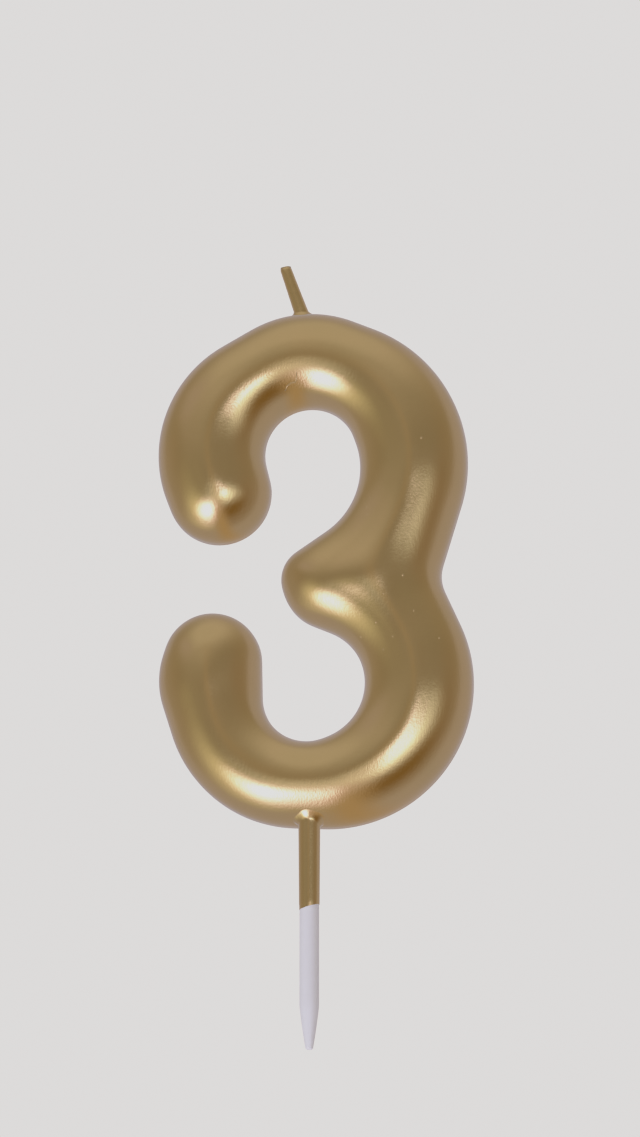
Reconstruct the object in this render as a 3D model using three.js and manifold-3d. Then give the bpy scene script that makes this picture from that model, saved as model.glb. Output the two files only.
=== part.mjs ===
// Number candle: a wax numeral three with a cotton wick, a plastic cake pick and one continuous lacquer film.
// Millimetres, +Z up. The front of the numeral faces -Y and its back is flat.
// The origin is on the pick's axis, level with the lowest point of the numeral, where the cake's top would be.
import * as THREE from 'three';
import { mergeVertices } from 'three/addons/utils/BufferGeometryUtils.js';
import Module from 'manifold-3d';

// Main sizes of the numeral, and where its flat back lies behind the pick's axis.
const numeralHeight = 72.4;
const numeralDepth = 10.0;
const backY = 4.8;

// Outline of the numeral, seen from the front: a belt pulled round these pegs, clockwise from the upper left.
// A peg is placed by where its rim reaches. The belt passes on the inner side of a hollow one.
const outlinePegs = {
  crownLeft: { left: -21.4, top: 70.3, radius: 17.6 },
  crownPeak: { midX: -0.3, top: 72.4, radius: 16.6 },
  crownRight: { right: 21.7, top: 71.5, radius: 20.6 },
  waist: { left: 18.0, midZ: 35.0, radius: 5.2, hollow: true },
  bellyRight: { right: 22.4, bottom: 0, radius: 19.9 },
  bellyCorner: { left: -20.2, bottom: 0.2, radius: 18.6 },
  bellyLeft: { left: -21.2, midZ: 20.9, radius: 11.7 },
  lowerTip: { left: -20.6, top: 30.3, radius: 6.8 },
  lowerHollowLeft: { left: -6.9, bottom: 12.1, radius: 6.4, hollow: true },
  lowerHollowRight: { right: 7.4, bottom: 12.2, radius: 7.9, hollow: true },
  spurUnder: { left: -4.1, midZ: 34.7, radius: 6.8 },
  spurNose: { left: -4.2, midZ: 34.7, radius: 4.7 },
  upperHollowRight: { right: 6.8, midZ: 50.3, radius: 10.7, hollow: true },
  upperHollowTop: { midX: -0.2, top: 59.1, radius: 6.4, hollow: true },
  upperTip: { left: -20.1, bottom: 40.2, radius: 7.2 },
};

// The outline is drawn as high as its highest peg reaches, and scaled from that to the height that is cast.
const drawnHeight = outlinePegs.crownPeak.top;

// Pairs of places that face each other across the stroke, from the upper tip to the lower one.
// Each is a peg and the direction from its centre, in degrees.
const toRight = 0;
const toTop = 90;
const toLeft = 180;
const toBottom = -90;
const strokeStations = [
  { outer: ['upperTip', toBottom], inner: ['upperTip', toBottom] },
  { outer: ['upperTip', -170], inner: ['upperTip', -5] },
  { outer: ['crownLeft', 178], inner: ['upperHollowTop', 178] },
  { outer: ['crownLeft', 135], inner: ['upperHollowTop', 132] },
  { outer: ['crownPeak', toTop], inner: ['upperHollowTop', toTop] },
  { outer: ['crownRight', 45], inner: ['upperHollowTop', 35] },
  { outer: ['crownRight', toRight], inner: ['upperHollowRight', toRight] },
  { outer: ['crownRight', -33], inner: ['upperHollowRight', -45] },
  { outer: ['waist', toLeft], inner: ['spurNose', toLeft] },
  { outer: ['bellyRight', 30], inner: ['lowerHollowRight', 65] },
  { outer: ['bellyRight', toRight], inner: ['lowerHollowRight', toRight] },
  { outer: ['bellyRight', -45], inner: ['lowerHollowRight', -45] },
  { outer: ['bellyCorner', toBottom], inner: ['lowerHollowLeft', toBottom] },
  { outer: ['bellyCorner', -135], inner: ['lowerHollowLeft', -135] },
  { outer: ['bellyLeft', toLeft], inner: ['lowerHollowLeft', toLeft] },
  { outer: ['lowerTip', 170], inner: ['lowerTip', 5] },
  { outer: ['lowerTip', toTop], inner: ['lowerTip', toTop] },
];

// Section of the numeral: a blown-up front on a shallow straight back with a rounded rear edge.
const backDepth = 2.2;
const backEdgeRadius = 1.2;
const widestPlaneY = backY - backDepth;
const domeHeight = numeralDepth - backDepth;

// Lacquer film, and the hairline that it keeps to what it covers.
const filmThickness = 0.2;
const filmClearance = 0.05;

// Cake pick, a plain round pin whose ringed head is cast into the wax.
const pickDiameter = 2.7;
const pickExposedLength = 30.9;
const pickTaperLength = 6.0;
const pickTipDiameter = 1.1;
const pickTipRounding = 0.2;
const pickHeadLength = 9.0;
const pickRingDiameter = 3.5;
const pickRingCount = 3;
const pickRingPitch = 2.4;
const pickRingSlope = 1.2;
const pickRingShoulder = 0.4;

// Film on the pick: it ends at the dip line, a little lower on the left, and flares into a collar at the top.
const dipDepth = 10.8;
const dipSlant = 0.7;
const pickFilmEnd = 0.05;
const pickFilmTop = 0.14;
const pickCollarFlare = 0.2;
const pickCollarHeight = 0.9;
const pickCollarTop = 0.3;
const pickClearance = 0.03;

// Wick, cast in upright and leaning over where it leaves the wax.
const wickDiameter = 1.33;
const wickRootX = -1.1;
const wickRootY = 1.3;
const wickBuriedLength = 8.2;
const wickBendDepth = 1.0;
const wickBendRadius = 3.0;
const wickLean = 19.2;
const wickFreeLength = 6.9;

// Film on the wick, thicker where it pooled at the foot.
const wickFilmTip = 0.08;
const wickFilmFoot = 0.3;
const wickFootHeight = 0.5;
const wickFootTaper = 0.8;
const wickClearance = 0.03;

// Clearance of the wax round what is cast into it.
const castClearance = 0.1;

// Fineness of the surfaces.
const rungSpacing = 1.9;
const domeSegments = 12;
const settlingRounds = 400;
const settlingHaste = 1.6;
const emptyCell = 1e-9;
const edgeSegments = 3;
const collarSegments = 3;
const roundSides = 24;
const wickSides = 12;
const wickStep = 0.9;
const mergeDistance = 1e-5;

const finishes = {
  wax: new THREE.MeshStandardMaterial({ color: 0xefe6cf, roughness: 0.6, metalness: 0 }),
  lacquer: new THREE.MeshStandardMaterial({ color: 0xb08f52, roughness: 0.28, metalness: 1 }),
  cotton: new THREE.MeshStandardMaterial({ color: 0xe8e1d0, roughness: 0.95, metalness: 0 }),
  plastic: new THREE.MeshStandardMaterial({ color: 0xe9e8e6, roughness: 0.35, metalness: 0 }),
};

const wasm = await Module();
wasm.setup();

// Centre of a peg from the two places that its rim reaches.
function pegCentre({ left, right, midX, top, bottom, midZ, radius }) {
  const x = midX ?? (left !== undefined ? left + radius : right - radius);
  const z = midZ ?? (top !== undefined ? top - radius : bottom + radius);
  return new THREE.Vector2(x, z).multiplyScalar(numeralHeight / drawnHeight);
}

// Unit vector to the left of a heading.
function leftOf(heading) {
  return new THREE.Vector2(-Math.sin(heading), Math.cos(heading));
}

// The belt as a closed list of pieces, each an arc or the straight run after it, moved inwards by inset.
// An arc gives the fraction at which it meets a direction from its centre, or its nearer end.
function beltPieces(inset) {
  const turn = 2 * Math.PI;
  const quarter = turn / 4;
  const pegs = Object.entries(outlinePegs).map(([name, peg]) => {
    const radius = (peg.radius * numeralHeight) / drawnHeight;
    const bend = (peg.hollow ? -radius : radius) - inset;
    return { name, centre: pegCentre(peg), bend, hollow: Boolean(peg.hollow) };
  });
  const runs = pegs.map((peg, i) => {
    const next = pegs[(i + 1) % pegs.length];
    const between = next.centre.clone().sub(peg.centre);
    const slope = THREE.MathUtils.clamp((peg.bend - next.bend) / between.length(), -1, 1);
    const heading = between.angle() - Math.asin(slope);
    const from = leftOf(heading).multiplyScalar(peg.bend).add(peg.centre);
    const to = leftOf(heading).multiplyScalar(next.bend).add(next.centre);
    return { heading, from, to };
  });
  return pegs.flatMap(({ name, centre, bend, hollow }, i) => {
    const arriving = runs[(i + pegs.length - 1) % pegs.length].heading;
    const clockwise = (((arriving - runs[i].heading) % turn) + turn) % turn;
    const sweep = hollow ? turn - clockwise : -clockwise;
    const arc = {
      name,
      length: Math.abs(sweep * bend),
      at: (f) => leftOf(arriving + sweep * f).multiplyScalar(bend).add(centre),
      fractionToward: (degrees) => {
        const heading = THREE.MathUtils.degToRad(degrees + (hollow ? 90 : -90));
        const turned = (heading - arriving) * Math.sign(sweep);
        const past = (((turned + quarter) % turn) + turn) % turn - quarter;
        return THREE.MathUtils.clamp(past / Math.abs(sweep), 0, 1);
      },
    };
    const { from, to } = runs[i];
    const run = { length: from.distanceTo(to), at: (f) => from.clone().lerp(to, f) };
    return [arc, run];
  });
}

// Rungs across the stroke, each a pair of places on the belt, as a piece and a fraction of it.
// Between two stations the rungs are shared out evenly on both sides.
function strokeRungs() {
  const pieces = beltPieces(0);
  const starts = [];
  let whole = 0;
  for (const piece of pieces) {
    starts.push(whole);
    whole += piece.length;
  }
  const distanceOf = ([name, degrees]) => {
    const i = pieces.findIndex((piece) => piece.name === name);
    return starts[i] + pieces[i].length * pieces[i].fractionToward(degrees);
  };
  const placeAt = (distance) => {
    const along = ((distance % whole) + whole) % whole;
    let i = pieces.length - 1;
    while (starts[i] > along) i -= 1;
    return { piece: i, fraction: Math.min((along - starts[i]) / pieces[i].length, 1) };
  };
  const clockwiseGap = (from, to) => (((to - from) % whole) + whole) % whole;
  const rungs = [];
  for (let i = 0; i + 1 < strokeStations.length; i += 1) {
    const [here, there] = [strokeStations[i], strokeStations[i + 1]];
    const outerStart = distanceOf(here.outer);
    const innerStart = distanceOf(here.inner);
    const outerGap = clockwiseGap(outerStart, distanceOf(there.outer));
    const innerGap = clockwiseGap(distanceOf(there.inner), innerStart);
    const count = Math.max(2, Math.round((outerGap + innerGap) / 2 / rungSpacing));
    for (let k = 0; k < count; k += 1) {
      rungs.push({
        outer: placeAt(outerStart + (outerGap * k) / count),
        inner: placeAt(innerStart - (innerGap * k) / count),
      });
    }
  }
  const end = placeAt(distanceOf(strokeStations.at(-1).outer));
  return [...rungs, { outer: end, inner: end }];
}

const rungs = strokeRungs();

// The rungs of the belt moved inwards by inset, as pairs of points.
function rungPoints(inset) {
  const pieces = beltPieces(inset);
  const pointAt = ({ piece, fraction }) => pieces[piece].at(fraction);
  return rungs.map(({ outer, inner }) => ({ outer: pointAt(outer), inner: pointAt(inner) }));
}

// Places across a rung, from its outer end to its inner one, closer together near both.
function placesAcross({ outer, inner }) {
  const middle = outer.clone().add(inner).multiplyScalar(0.5);
  return Array.from({ length: domeSegments + 1 }, (_, j) => {
    const angle = Math.PI * (j / domeSegments);
    return middle.clone().lerp(outer, Math.cos(angle));
  });
}

// Height of the front over the widest plane at the places across the rungs.
// The front is a skin blown up over the outline, so it is highest where the stroke is widest.
// The square of its height bends equally everywhere and is nought round the rim.
// It is settled on triangles, with every cell of the rungs cut along both of its diagonals.
function blownHeights() {
  const places = rungPoints(0).flatMap(placesAcross);
  const columns = domeSegments + 1;
  const cellRows = places.length / columns - 1;
  const load = places.map(() => 0);
  const pulls = places.map(() => new Map());
  const join = (i, j, pull) => {
    pulls[i].set(j, (pulls[i].get(j) ?? 0) + pull);
    pulls[j].set(i, (pulls[j].get(i) ?? 0) + pull);
  };
  const addTriangle = (corners) => {
    corners.forEach((corner, k) => {
      const [i, j] = [corners[(k + 1) % 3], corners[(k + 2) % 3]];
      const toI = places[i].clone().sub(places[corner]);
      const toJ = places[j].clone().sub(places[corner]);
      const doubleArea = Math.abs(toI.cross(toJ));
      if (doubleArea < emptyCell) return;
      join(i, j, toI.dot(toJ) / doubleArea / 4);
      load[corner] += doubleArea / 6;
    });
  };
  const free = [];
  for (let k = 0; k < cellRows; k += 1) {
    for (let j = 0; j < domeSegments; j += 1) {
      const a = k * columns + j;
      const [b, c, d] = [a + 1, a + 1 + columns, a + columns];
      [[a, b, c], [a, c, d], [a, b, d], [b, c, d]].forEach(addTriangle);
      if (k > 0 && j > 0) free.push(a);
    }
  }
  const squares = places.map(() => 0);
  for (let round = 0; round < settlingRounds; round += 1) {
    for (const i of free) {
      let pulled = load[i];
      let stiffness = 0;
      for (const [j, pull] of pulls[i]) {
        pulled += pull * squares[j];
        stiffness += pull;
      }
      squares[i] += settlingHaste * (pulled / stiffness - squares[i]);
    }
  }
  const highest = Math.max(...squares);
  return squares.map((square) => domeHeight * Math.sqrt(Math.max(square, 0) / highest));
}

const frontHeights = blownHeights();

// The numeral as a closed solid, moved inwards by inset on every side.
function numeralSolid(inset) {
  const nominal = rungPoints(0);
  const own = rungPoints(inset);
  const last = own.length - 1;
  const vertices = [];
  const triangles = [];
  const addVertex = (point, y) => vertices.push([point.x, y, point.y]) - 1;
  const addQuad = (a, b, c, d) => triangles.push([a, b, c], [a, c, d]);

  // Closed rings round the outline: the widest plane, then the straight side and the rounded rear edge.
  const addRing = (pairs, y) => {
    const outer = pairs.map((pair) => addVertex(pair.outer, y));
    const inner = pairs.map((pair, k) => (k === 0 || k === last ? outer[k] : addVertex(pair.inner, y)));
    return { outer, inner };
  };
  const rings = [addRing(own, widestPlaneY)];
  const rearY = backY - inset;
  for (let j = 0; j <= edgeSegments; j += 1) {
    const angle = (Math.PI / 2) * (j / edgeSegments);
    const drawnIn = inset + backEdgeRadius * (1 - Math.cos(angle));
    rings.push(addRing(rungPoints(drawnIn), rearY - backEdgeRadius * (1 - Math.sin(angle))));
  }
  for (let j = 0; j + 1 < rings.length; j += 1) {
    const [front, rear] = [rings[j], rings[j + 1]];
    for (let k = 0; k < last; k += 1) {
      addQuad(front.outer[k], front.outer[k + 1], rear.outer[k + 1], rear.outer[k]);
      addQuad(front.inner[k + 1], front.inner[k], rear.inner[k], rear.inner[k + 1]);
    }
  }

  // Flat back, a strip from rung to rung.
  const back = rings.at(-1);
  for (let k = 0; k < last; k += 1) {
    addQuad(back.outer[k], back.outer[k + 1], back.inner[k + 1], back.inner[k]);
  }

  // Blown-up front, an arch standing on every rung and lower by the inset.
  const edge = rings[0];
  const arches = own.map((rung, k) => {
    if (k === 0 || k === last) return Array(domeSegments + 1).fill(edge.outer[k]);
    const share = rung.outer.distanceTo(rung.inner) / nominal[k].outer.distanceTo(nominal[k].inner);
    const arch = placesAcross(rung).map((place, j) => {
      if (j === 0) return edge.outer[k];
      if (j === domeSegments) return edge.inner[k];
      return addVertex(place, widestPlaneY - share * frontHeights[k * (domeSegments + 1) + j]);
    });
    return arch;
  });
  for (let k = 0; k < last; k += 1) {
    for (let j = 0; j < domeSegments; j += 1) {
      addQuad(arches[k][j], arches[k][j + 1], arches[k + 1][j + 1], arches[k + 1][j]);
    }
  }

  const geometry = new THREE.BufferGeometry();
  const whole = triangles.filter(([a, b, c]) => a !== b && b !== c && c !== a);
  geometry.setAttribute('position', new THREE.Float32BufferAttribute(vertices.flat(), 3));
  geometry.setIndex(whole.flat());
  return solidFrom(geometry);
}

// A closed three.js geometry as a solid that can be joined and cut.
function solidFrom(geometry) {
  const bare = geometry.clone();
  bare.deleteAttribute('normal');
  bare.deleteAttribute('uv');
  const merged = mergeVertices(bare, mergeDistance);
  const triVerts = Uint32Array.from(merged.index.array);
  return new wasm.Manifold(new wasm.Mesh({
    numProp: 3,
    vertProperties: Float32Array.from(merged.attributes.position.array),
    triVerts,
  }));
}

// A solid as a flat-shaded geometry for a mesh.
function geometryFrom(solid) {
  const mesh = solid.getMesh();
  const geometry = new THREE.BufferGeometry();
  geometry.setAttribute('position', new THREE.BufferAttribute(mesh.vertProperties, 3));
  geometry.setIndex(new THREE.BufferAttribute(mesh.triVerts, 1));
  const flat = geometry.toNonIndexed();
  flat.computeVertexNormals();
  return flat;
}

// A solid of revolution about the pick's axis, from pairs of radius and height that rise.
function turned(profile) {
  const points = profile.map(([radius, z]) => new THREE.Vector2(radius, z));
  return new THREE.LatheGeometry(points, roundSides).rotateX(Math.PI / 2);
}

// The wick's route in its own plane: upright, then a bend, then straight on at the lean.
// It gives the place and the tilt at a distance from the buried end.
function wickRoute(distance) {
  const lean = THREE.MathUtils.degToRad(wickLean);
  const upright = wickBuriedLength - wickBendDepth;
  const bendLength = wickBendRadius * lean;
  const rootZ = numeralHeight - wickBuriedLength;
  const bent = THREE.MathUtils.clamp(distance - upright, 0, bendLength);
  const tilt = bent / wickBendRadius;
  const straight = Math.min(distance, upright);
  const free = Math.max(distance - upright - bendLength, 0);
  const x = wickRootX - wickBendRadius * (1 - Math.cos(tilt)) - free * Math.sin(tilt);
  const z = rootZ + straight + wickBendRadius * Math.sin(tilt) + free * Math.cos(tilt);
  return { x, z, tilt };
}

// A round bar along the wick's route from pairs of distance and radius.
function alongWick(profile) {
  const points = [];
  for (let i = 0; i + 1 < profile.length; i += 1) {
    const [[from, fromRadius], [to, toRadius]] = [profile[i], profile[i + 1]];
    const steps = Math.max(1, Math.ceil((to - from) / wickStep));
    for (let k = 0; k < steps; k += 1) {
      const f = k / steps;
      points.push(new THREE.Vector2(fromRadius + (toRadius - fromRadius) * f, from + (to - from) * f));
    }
  }
  const [end, endRadius] = profile.at(-1);
  points.push(new THREE.Vector2(endRadius, end), new THREE.Vector2(0, end));
  points.unshift(new THREE.Vector2(0, profile[0][0]));
  const geometry = new THREE.LatheGeometry(points, wickSides);
  const position = geometry.attributes.position;
  for (let i = 0; i < position.count; i += 1) {
    const { x, z, tilt } = wickRoute(position.getY(i));
    const across = position.getX(i);
    position.setXYZ(i, x + across * Math.cos(tilt), wickRootY - position.getZ(i), z + across * Math.sin(tilt));
  }
  return geometry;
}

const pickRadius = pickDiameter / 2;
const wickRadius = wickDiameter / 2;
const wickLength = wickBuriedLength + wickFreeLength;

// Cake pick: blunt tip, taper, plain shaft and a head with rings that key it into the wax.
function pickGeometry(extra = 0) {
  const tipRadius = pickTipDiameter / 2;
  const profile = [
    [0, -pickExposedLength],
    [tipRadius - pickTipRounding, -pickExposedLength],
    [tipRadius, -pickExposedLength + pickTipRounding],
    [pickRadius, -pickExposedLength + pickTaperLength],
  ];
  for (let i = pickRingCount; i > 0; i -= 1) {
    const ringZ = pickHeadLength - pickRingShoulder - (i - 1) * pickRingPitch;
    profile.push(
      [pickRadius, ringZ - pickRingSlope],
      [pickRingDiameter / 2, ringZ],
      [pickRadius, ringZ + pickRingShoulder],
    );
  }
  profile.push([0, pickHeadLength]);
  const grown = profile.map(([radius, z]) => [radius > 0 ? radius + extra : 0, z]);
  grown[grown.length - 2][1] += extra;
  grown[grown.length - 1][1] += extra;
  return turned(grown);
}

// Film round the pick, from the slanted dip line up to a collar that runs on inside the numeral.
function pickSleeve() {
  const bore = pickRadius + pickClearance;
  const profile = [[0, -dipDepth], [bore + pickFilmEnd, -dipDepth]];
  for (let i = 0; i <= collarSegments; i += 1) {
    const angle = (Math.PI / 2) * (i / collarSegments);
    const flare = pickCollarFlare * (1 - Math.cos(angle));
    const rise = (pickCollarHeight + pickCollarTop) * Math.sin(angle);
    profile.push([bore + pickFilmTop + flare, -pickCollarHeight + rise]);
  }
  profile.push([bore + pickFilmTop + pickCollarFlare, pickHeadLength / 2], [0, pickHeadLength / 2]);
  const geometry = turned(profile);
  const position = geometry.attributes.position;
  for (let i = 0; i < position.count; i += 1) {
    if (position.getZ(i) > -pickCollarHeight) continue;
    position.setZ(i, position.getZ(i) + (position.getX(i) / pickDiameter) * dipSlant);
  }
  return geometry;
}

// Film round the wick, closed over the cut end.
function wickSleeve() {
  const bore = wickRadius + wickClearance;
  const footTop = wickBuriedLength + wickFootHeight;
  return alongWick([
    [wickBuriedLength / 2, bore + wickFilmFoot],
    [footTop, bore + wickFilmFoot],
    [footTop + wickFootTaper, bore + (wickFilmFoot + wickFilmTip) / 2],
    [wickLength + wickClearance + wickFilmTip, bore + wickFilmTip],
  ]);
}

// Wax casting with the sockets of the pick's head and the wick.
function waxBody() {
  return numeralSolid(filmThickness + filmClearance)
    .subtract(solidFrom(pickGeometry(castClearance)))
    .subtract(solidFrom(alongWick([
      [-castClearance, wickRadius + castClearance],
      [wickLength, wickRadius + castClearance],
    ])));
}

// Lacquer film: one skin over the numeral, up the wick and down the pick, open at the dip line.
function lacquerFilm() {
  const pickBore = solidFrom(turned([
    [0, -dipDepth - dipSlant],
    [pickRadius + pickClearance, -dipDepth - dipSlant],
    [pickRadius + pickClearance, pickHeadLength / 2],
    [0, pickHeadLength / 2],
  ]));
  const wickBore = solidFrom(alongWick([
    [wickBuriedLength / 2, wickRadius + wickClearance],
    [wickLength + wickClearance, wickRadius + wickClearance],
  ]));
  return numeralSolid(0)
    .add(solidFrom(pickSleeve()))
    .add(solidFrom(wickSleeve()))
    .subtract(numeralSolid(filmThickness))
    .subtract(pickBore)
    .subtract(wickBore);
}

function named(name, geometry, material) {
  const mesh = new THREE.Mesh(geometry, material);
  mesh.name = name;
  return mesh;
}

const candle = new THREE.Group();
candle.add(
  named('wax_numeral', geometryFrom(waxBody()), finishes.wax),
  named('lacquer_film', geometryFrom(lacquerFilm()), finishes.lacquer),
  named('wick', alongWick([[0, wickRadius], [wickLength, wickRadius]]), finishes.cotton),
  named('cake_pick', pickGeometry(), finishes.plastic),
);

export default candle;
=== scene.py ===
"""Number candle: the looks of a dipped gold numeral three with its wick and its cake pick.

Millimetres in the shape functions, metres in Blender. The front faces -Y and +Z is up along the pick.
"""
import math

import bmesh
import bpy
import numpy as np
from mathutils import Matrix, Vector
from mathutils.bvhtree import BVHTree
from mathutils.kdtree import KDTree


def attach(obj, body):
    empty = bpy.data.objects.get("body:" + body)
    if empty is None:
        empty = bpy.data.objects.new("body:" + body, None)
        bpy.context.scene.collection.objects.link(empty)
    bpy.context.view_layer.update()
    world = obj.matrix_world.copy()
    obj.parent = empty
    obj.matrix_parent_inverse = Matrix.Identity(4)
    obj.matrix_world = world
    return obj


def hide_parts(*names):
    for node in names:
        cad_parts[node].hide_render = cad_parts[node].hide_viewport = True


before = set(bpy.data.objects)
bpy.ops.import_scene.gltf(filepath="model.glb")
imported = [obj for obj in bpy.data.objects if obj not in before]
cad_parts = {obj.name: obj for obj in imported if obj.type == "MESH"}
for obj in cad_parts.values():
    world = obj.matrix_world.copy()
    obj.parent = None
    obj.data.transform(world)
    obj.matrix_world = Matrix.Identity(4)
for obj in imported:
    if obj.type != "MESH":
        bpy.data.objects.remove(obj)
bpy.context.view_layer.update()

MM = 0.001

# Outline of the numeral, the belt of the CAD model: pegs placed by where their rims reach.
OUTLINE_PEGS = {
    "crownLeft": {"left": -21.4, "top": 70.3, "radius": 17.6},
    "crownPeak": {"midX": -0.3, "top": 72.4, "radius": 16.6},
    "crownRight": {"right": 21.7, "top": 71.5, "radius": 20.6},
    "waist": {"left": 18.0, "midZ": 35.0, "radius": 5.2, "hollow": True},
    "bellyRight": {"right": 22.4, "bottom": 0, "radius": 19.9},
    "bellyCorner": {"left": -20.2, "bottom": 0.2, "radius": 18.6},
    "bellyLeft": {"left": -21.2, "midZ": 20.9, "radius": 11.7},
    "lowerTip": {"left": -20.6, "top": 30.3, "radius": 6.8},
    "lowerHollowLeft": {"left": -6.9, "bottom": 12.1, "radius": 6.4, "hollow": True},
    "lowerHollowRight": {"right": 7.4, "bottom": 12.2, "radius": 7.9, "hollow": True},
    "spurUnder": {"left": -4.1, "midZ": 34.7, "radius": 6.8},
    "spurNose": {"left": -4.2, "midZ": 34.7, "radius": 4.7},
    "upperHollowRight": {"right": 6.8, "midZ": 50.3, "radius": 10.7, "hollow": True},
    "upperHollowTop": {"midX": -0.2, "top": 59.1, "radius": 6.4, "hollow": True},
    "upperTip": {"left": -20.1, "bottom": 40.2, "radius": 7.2},
}

# Places that face each other across the stroke, from the upper tip to the lower one: a peg and a
# direction from its centre in degrees, for the outer side and then for the inner side.
STROKE_STATIONS = [
    (("upperTip", -90), ("upperTip", -90)),
    (("upperTip", -170), ("upperTip", -5)),
    (("crownLeft", 178), ("upperHollowTop", 178)),
    (("crownLeft", 135), ("upperHollowTop", 132)),
    (("crownPeak", 90), ("upperHollowTop", 90)),
    (("crownRight", 45), ("upperHollowTop", 35)),
    (("crownRight", 0), ("upperHollowRight", 0)),
    (("crownRight", -33), ("upperHollowRight", -45)),
    (("waist", 180), ("spurNose", 180)),
    (("bellyRight", 30), ("lowerHollowRight", 65)),
    (("bellyRight", 0), ("lowerHollowRight", 0)),
    (("bellyRight", -45), ("lowerHollowRight", -45)),
    (("bellyCorner", -90), ("lowerHollowLeft", -90)),
    (("bellyCorner", -135), ("lowerHollowLeft", -135)),
    (("bellyLeft", 180), ("lowerHollowLeft", 180)),
    (("lowerTip", 170), ("lowerTip", 5)),
    (("lowerTip", 90), ("lowerTip", 90)),
]

# Section of the numeral: rounded over in front from the widest plane, swollen where the distance
# from the rim is between SWELL_FROM and SWELL_TO, and flat behind with a rounded edge. The distance
# is eased over RIDGE_EASING, and less and less within RIM_ZONE of the rim.
WIDEST_PLANE_Y = 2.6
BACK_Y = 4.8
BACK_EDGE_RADIUS = 1.2
BACK_SINK = 0.12
FRONT_ROUNDING = 7.0
SWELL_HEIGHT = 0.97
SWELL_FROM = 5.0
SWELL_TO = 9.0
RIDGE_EASING = 1.5
RIM_ZONE = 2.0
WAVE_HEIGHT = 0.03
WAVE_FADE = 3.0
LONG_WAVE_SHARE = 0.6
FILM_THICKNESS = 0.25

# Cake pick and the film on it, whose lower edge is DIP_DEPTH below the numeral.
PICK_RADIUS = 1.35
PICK_EXPOSED = 30.9
PICK_TAPER = 6.0
PICK_TIP_RADIUS = 0.55
PICK_TIP_ROUNDING = 0.3
DIP_DEPTH = 11.3
DIP_SLANT = 0.7
DIP_EDGE_THICKNESS = 0.02
DIP_LIP_GAIN = 0.045
DIP_LIP_LENGTH = 0.5
DIP_RUN_GAIN = 0.085
PICK_FOOT = {"flare": 0.75, "rise": 0.8}
PICK_HEAD = 9.0
TAPER_BULGE = 0.06
SEAM_HEIGHT = 0.02
SEAM_WIDTH = 0.09

# Wick and the film on it. It leaves the wax at WICK_ROOT.
WICK_ROOT = (-1.267, 1.3, 72.387)
WICK_LEAN = math.radians(19.2)
WICK_FREE = 6.9
WICK_CUT_SHEAR = 0.14
WICK_CUT_RADIUS = 0.775
WICK_FOOT_GAIN = 0.2
WICK_FOOT_POWER = 1.2
WICK_RIM_ROUNDING = 0.12
WICK_END_COAT = 0.08
WICK_FOOT = {"flare": 0.45, "rise": 0.5}
BRAID_STRANDS = 3
BRAID_TURN = 2.3
BRAID_HEIGHT = 0.014
BRAID_FADE = 0.3

# Specks and a hair caught in the film, where the camera sees them: x, z and radius, and x and z.
# They are looked for from IN_FRONT ahead of the widest plane.
NIBS = (
    (15.2, 54.4, 0.16), (7.7, 44.9, 0.13), (7.7, 43.9, 0.12), (12.6, 35.2, 0.17), (9.9, 32.7, 0.12),
    (14.1, 30.2, 0.13), (8.9, 28.7, 0.14), (17.6, 26.3, 0.14), (11.2, 26.7, 0.13), (6.8, 26.7, 0.15),
    (9.9, 24.9, 0.12), (0.9, -3.3, 0.13),
)
HAIR_PATH = ((-3.7, 61.6), (-3.4, 62.3), (-2.8, 62.7), (-2.3, 62.8), (-2.1, 63.3), (-2.1, 64.2))
HAIR_RADIUS = 0.11
HAIR_LIFT = 0.9
HAIR_END_SHARE = 0.4
NIB_FLATNESS = 0.7
NIB_TILTS = (-0.3, 0.15, 0.55, 1.0)
IN_FRONT = 20.0

# Fineness of the meshes.
BELT_STEP = 0.05
RUNG_COUNT = 460
DOME_SEGMENTS = 72
WAX_RUNG_COUNT = 230
WAX_DOME_SEGMENTS = 36
FORM_GRID = 0.25
FORM_REACH_X = (-26, 27)
FORM_REACH_Z = (-4, 77)
EDGE_SEGMENTS = 6
BACK_SEGMENTS = 8
ROUND_SIDES = 64
NIB_SIDES = 10
HAIR_SIDES = 8
SLEEVE_STEP = 0.45
SLEEVE_STEPS_MIN = 6
FOOT_STEPS = 10
TIP_STEPS = 6
TAPER_STEPS = 12
SHANK_RINGS = 18

# Pooled foot of a sleeve: how strongly its curve leaves the sleeve and meets the numeral, how far
# out the numeral's slope is felt for, and how deep it ends in the numeral.
FOOT_PULL = 1.2
SLOPE_STEP = 0.3
FOOT_SINK = 0.02
# Unevenness of its reach: share, waves round the sleeve and phase.
FOOT_WAVES = ((0.18, 2, 0.6), (0.1, 5, 1.9))

# Camera: millimetres in a pixel of the 640 x 1137 picture, and the point at its middle. It stands
# to the lower right: so many millimetres to the right and down for each one in front. The view is
# drawn a little larger for that, by 1 / VIEW_SHORTENING.
MM_PER_PIXEL = 0.14
PICTURE_HEIGHT = 1137
VIEW_MIDDLE = (1.16, 36.4)
VIEW_DISTANCE = 1000.0
VIEW_RIGHT = 0.12
VIEW_DOWN = 0.2
VIEW_SHORTENING = 0.988
SENSOR_WIDTH = 36.0
CLIP_END = 100.0
TONE_CURVE = ((0, 0), (0.35, 0.35), (0.62, 0.62), (0.74, 0.70), (1.0, 0.735))

# Brush marks of the lacquer: their slant, and how fine they are across and along.
MARKS_ANGLE = math.radians(24)
MARKS_SCALE = (4200, 4200, 900)

# Ground colour, and the floor with its radius in metres.
PALE = (0.81, 0.76, 0.74)
FLOOR_COLOR = (0.8, 0.79, 0.78)
FLOOR_GLOW = 0.4
FLOOR_FADE = 0.8
FLOOR_LEVEL = -190.0
FLOOR_RADIUS = 0.45
FLOOR_SIDES = 96

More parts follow.
